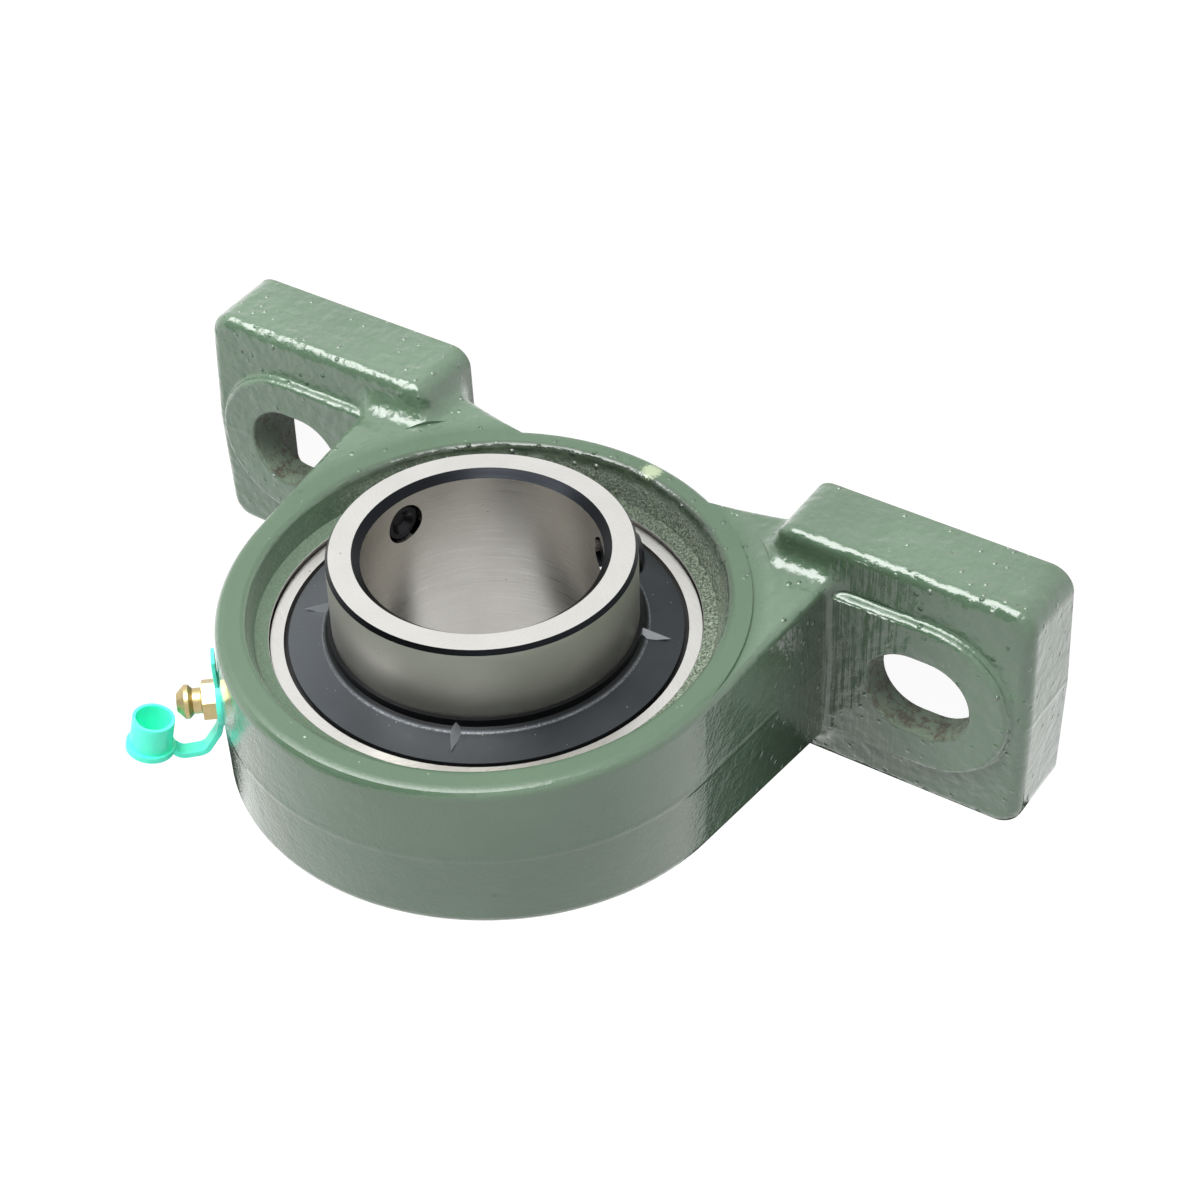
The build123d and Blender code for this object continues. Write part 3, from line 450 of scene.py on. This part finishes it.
# Balls and check ball: chrome steel, hardened and lapped to a mirror. Nine balls run in the grooves of the
# rings, held apart by the cage, and a small one closes the nipple. The haze of lapping is too fine to show,
# so it is drawn as a faint change of gloss about 1 mm long.
haze_length = 1.111
lapped, tree = material("lapped_chrome_steel")
mm = put(tree, "VectorMath", {0: put(tree, "TexCoord")["Object"], "Scale": 1000.0}, operation="SCALE")[0]
haze = put(tree, "TexNoise", {"Vector": mm, "Scale": 1 / haze_length, "Detail": 2.0})[0]
roughness = put(tree, "MapRange", [haze, 0.0, 1.0, 0.05, 0.1])[0]
put(tree, "OutputMaterial", {"Surface": put(tree, "BsdfPrincipled", {
    "Base Color": hue("#d6d6d4"), "Metallic": 1.0, "Roughness": roughness,
})[0]})
for name in [f"ball_{number}" for number in range(1, 10)] + ["nipple_check_ball"]:
    nodes[name].material_slots[0].material = lapped


# Cage: two halves pressed from mild steel strip and riveted together, with the dull grey of rolled sheet in
# patches of about 3 mm. The nipple's spring is wound from the same kind of steel.
roll_patch = 2.857
pressed, tree = material("pressed_steel_strip")
mm = put(tree, "VectorMath", {0: put(tree, "TexCoord")["Object"], "Scale": 1000.0}, operation="SCALE")[0]
roll = put(tree, "TexNoise", {"Vector": mm, "Scale": 1 / roll_patch, "Detail": 3.0})[0]
grey = put(tree, "Mix", {
    "Factor": roll, "A": hue("#8d8c89"), "B": hue("#a9a8a4"),
}, data_type="RGBA")["Result"]
roughness = put(tree, "MapRange", [roll, 0.0, 1.0, 0.3, 0.48])[0]
put(tree, "OutputMaterial", {"Surface": put(tree, "BsdfPrincipled", {
    "Base Color": grey, "Metallic": 1.0, "Roughness": roughness,
})[0]})
for name in ("cage_front", "cage_back", "cage_rivets", "nipple_spring"):
    nodes[name].material_slots[0].material = pressed


# Seals: black nitrile rubber moulded on a steel disc, matt, with a lip that runs on the inner ring.
# The bloom on the rubber is a grey that comes and goes every 2 mm.
bloom_patch = 2.0
nitrile, tree = material("black_nitrile_rubber")
mm = put(tree, "VectorMath", {0: put(tree, "TexCoord")["Object"], "Scale": 1000.0}, operation="SCALE")[0]
bloom = put(tree, "TexNoise", {"Vector": mm, "Scale": 1 / bloom_patch, "Detail": 4.0})[0]
black = put(tree, "Mix", {
    "Factor": bloom, "A": hue("#0e0e0f"), "B": hue("#1c1c1d"),
}, data_type="RGBA")["Result"]
rubber = put(tree, "BsdfPrincipled", {"Base Color": black, "Roughness": 0.62})[0]
put(tree, "OutputMaterial", {"Surface": rubber})
for name in ("front_seal", "back_seal"):
    nodes[name].material_slots[0].material = nitrile


# Slingers: thin steel discs pressed on the inner ring, with a blue-black phosphate coat that picks up dust.
# The flange on the ring is painted near black as a painted shade. The bend at its root is partly rubbed
# bright and carries a painted highlight, the sides of the gussets carry a painted highlight in grey, and the
# disc is painted lighter towards +x as a painted reflection. The coat's crystals are too fine to show, so
# they are drawn 0.3 mm coarse.
bend_highlight_from, bend_highlight_to = 30.35, 30.95
painted_reflection_from, painted_reflection_to = 4.0, 36.0
bloom_patch, crystal = 10.0, 0.3333
dust_patch, dust_spacing, dust_radius = 5.0, 1.25, 0.09375

phosphate, tree = material("blue_black_phosphate_on_steel")
coords = put(tree, "TexCoord")
mm = put(tree, "VectorMath", {0: coords["Object"], "Scale": 1000.0}, operation="SCALE")[0]
xyz = put(tree, "SeparateXYZ", [mm])
up = put(tree, "Math", [xyz["Z"], shaft_height], operation="SUBTRACT")[0]
spoke = put(tree, "CombineXYZ", [xyz["X"], 0.0, up])[0]
radius = put(tree, "VectorMath", [spoke], operation="LENGTH")["Value"]
spoke = put(tree, "VectorMath", [spoke], operation="NORMALIZE")[0]
outward = put(tree, "SeparateXYZ", [spoke])
facing = put(tree, "SeparateXYZ", [coords["Normal"]])
bloom = put(tree, "TexNoise", {"Vector": mm, "Scale": 1 / bloom_patch, "Detail": 4.0})[0]
grain = put(tree, "TexNoise", {"Vector": mm, "Scale": 1 / crystal, "Detail": 3.0})[0]
dust_patches = put(tree, "TexNoise", {"Vector": mm, "Scale": 1 / dust_patch, "Detail": 3.0})[0]
dust_patches = put(tree, "MapRange", [dust_patches, 0.5, 0.62, 0.0, 0.8])[0]
dust = put(tree, "TexVoronoi", {"Vector": mm, "Scale": 1 / dust_spacing})["Distance"]
dust = put(tree, "Math", [dust, dust_radius / dust_spacing], operation="LESS_THAN")[0]
dust = put(tree, "Math", [dust, dust_patches], operation="MULTIPLY")[0]
# Painted reflection: the disc is made lighter towards +x.
painted_reflection_side = put(tree, "MapRange", [xyz["X"], painted_reflection_from, painted_reflection_to, 0.0, 0.8])[0]
# Painted highlight on the bend at the flange's root, partly rubbed wear.
rubbed_wear_and_highlight = put(tree, "MapRange", [radius, bend_highlight_from, bend_highlight_from + 0.15, 0.0, 1.0])[0]
for place, start, full in ((radius, bend_highlight_to, bend_highlight_to - 0.2), (grain, 0.3, 0.6)):
    share = put(tree, "MapRange", [place, start, full, 0.0, 1.0])[0]
    rubbed_wear_and_highlight = put(tree, "Math", [rubbed_wear_and_highlight, share], operation="MULTIPLY")[0]
# Painted shade: the flange on the ring is made near black.
flange_painted_shade = put(tree, "MapRange", [radius, bend_highlight_from - 0.05, bend_highlight_from - 0.25, 0.0, 1.0])[0]
# Painted highlight on the sides of the gussets, in grey.
one_way = put(tree, "Math", [facing["Z"], outward["X"]], operation="MULTIPLY")[0]
other_way = put(tree, "Math", [facing["X"], outward["Z"]], operation="MULTIPLY")[0]
gusset_painted_highlight = put(tree, "Math", [one_way, other_way], operation="SUBTRACT")[0]
gusset_painted_highlight = put(tree, "Math", [gusset_painted_highlight], operation="ABSOLUTE")[0]
gusset_painted_highlight = put(tree, "MapRange", [gusset_painted_highlight, 0.15, 0.3, 0.0, 0.9])[0]
coated = put(tree, "Mix", {
    "Factor": bloom, "A": hue("#2b2e31"), "B": hue("#3d4144"),
}, data_type="RGBA")["Result"]
for share, colour in (
    (painted_reflection_side, "#5c6064"), (dust, "#b4b7ba"), (rubbed_wear_and_highlight, "#6e7174"), (flange_painted_shade, "#161719"),
    (gusset_painted_highlight, "#a3a6aa"),
):
    coated = put(tree, "Mix", {"Factor": share, "A": coated, "B": hue(colour)}, data_type="RGBA")["Result"]
roughness = put(tree, "MapRange", [grain, 0.3, 0.7, 0.3, 0.4])[0]
bump = put(tree, "Bump", {"Height": grain, "Strength": 0.25, "Distance": 0.00003})[0]
put(tree, "OutputMaterial", {"Surface": put(tree, "BsdfPrincipled", {
    "Base Color": coated, "Metallic": 0.75, "Roughness": roughness, "Normal": bump,
})[0]})
for name in ("front_slinger", "back_slinger"):
    nodes[name].material_slots[0].material = phosphate


# Set screws: alloy steel with a cup point and hexagon socket, blackened in oil and screwed into the inner
# ring to grip the shaft. The black is rubbed greyer in patches of 1.4 mm.
rubbed_patch = 1.429
black_oxide, tree = material("black_oxide_alloy_steel")
mm = put(tree, "VectorMath", {0: put(tree, "TexCoord")["Object"], "Scale": 1000.0}, operation="SCALE")[0]
rubbed_wear_and_highlight = put(tree, "TexNoise", {"Vector": mm, "Scale": 1 / rubbed_patch, "Detail": 3.0})[0]
black = put(tree, "Mix", {
    "Factor": rubbed_wear_and_highlight, "A": hue("#131416"), "B": hue("#2b2c2f"),
}, data_type="RGBA")["Result"]
roughness = put(tree, "MapRange", [rubbed_wear_and_highlight, 0.0, 1.0, 0.22, 0.4])[0]
put(tree, "OutputMaterial", {"Surface": put(tree, "BsdfPrincipled", {
    "Base Color": black, "Metallic": 0.8, "Roughness": roughness,
})[0]})
for name in ("set_screw_1", "set_screw_2"):
    nodes[name].material_slots[0].material = black_oxide


# Grease nipple: free-cutting brass, turned, with fine tool marks round it, six to the millimetre. Its tarnish
# comes and goes every 2 mm. It stands on the housing along the line that its dust cap turns about.
nipple_line = next(joint["axis"] for joint in frame["joints"] if joint["child"] == "cap")
tool_mark, tarnish_patch = 1 / 6, 1.667
brass, tree = material("turned_brass")
mm = put(tree, "VectorMath", {0: put(tree, "TexCoord")["Object"], "Scale": 1000.0}, operation="SCALE")[0]
tone = put(tree, "TexNoise", {"Vector": mm, "Scale": 1 / tarnish_patch, "Detail": 3.0})[0]
along = put(tree, "VectorMath", [mm, nipple_line], operation="DOT_PRODUCT")["Value"]
along = put(tree, "CombineXYZ", [along, 0.0, 0.0])[0]
tool_marks = put(tree, "TexNoise", {"Vector": along, "Scale": 1 / tool_mark, "Detail": 3.0})[0]
bump = put(tree, "Bump", {"Height": tool_marks, "Strength": 0.6, "Distance": 0.00005})[0]
gold = put(tree, "Mix", {
    "Factor": tone, "A": hue("#b9a473"), "B": hue("#d4c394"),
}, data_type="RGBA")["Result"]
put(tree, "OutputMaterial", {"Surface": put(tree, "BsdfPrincipled", {
    "Base Color": gold, "Metallic": 1.0, "Roughness": 0.36, "Normal": bump,
})[0]})
nodes["grease_nipple"].material_slots[0].material = brass


# Dust cap: soft mint-green polyethylene, moulded with its strap, tab and ring in one. Light passes about 2 mm
# into it, and the green varies a little from place to place.
cloud_length, light_depth = 4.0, 0.002
mint, tree = material("mint_polyethylene")
mm = put(tree, "VectorMath", {0: put(tree, "TexCoord")["Object"], "Scale": 1000.0}, operation="SCALE")[0]
cloud = put(tree, "TexNoise", {"Vector": mm, "Scale": 1 / cloud_length, "Detail": 2.0})[0]
milk = put(tree, "Mix", {
    "Factor": cloud, "A": hue("#48efcb"), "B": hue("#68f7dc"),
}, data_type="RGBA")["Result"]
put(tree, "OutputMaterial", {"Surface": put(tree, "BsdfPrincipled", {
    "Base Color": milk, "Roughness": 0.35, "IOR": 1.5,
    "Subsurface Weight": 0.6, "Subsurface Scale": light_depth, "Subsurface Radius": (0.3, 1.0, 0.7),
})[0]})
nodes["dust_cap"].material_slots[0].material = mint
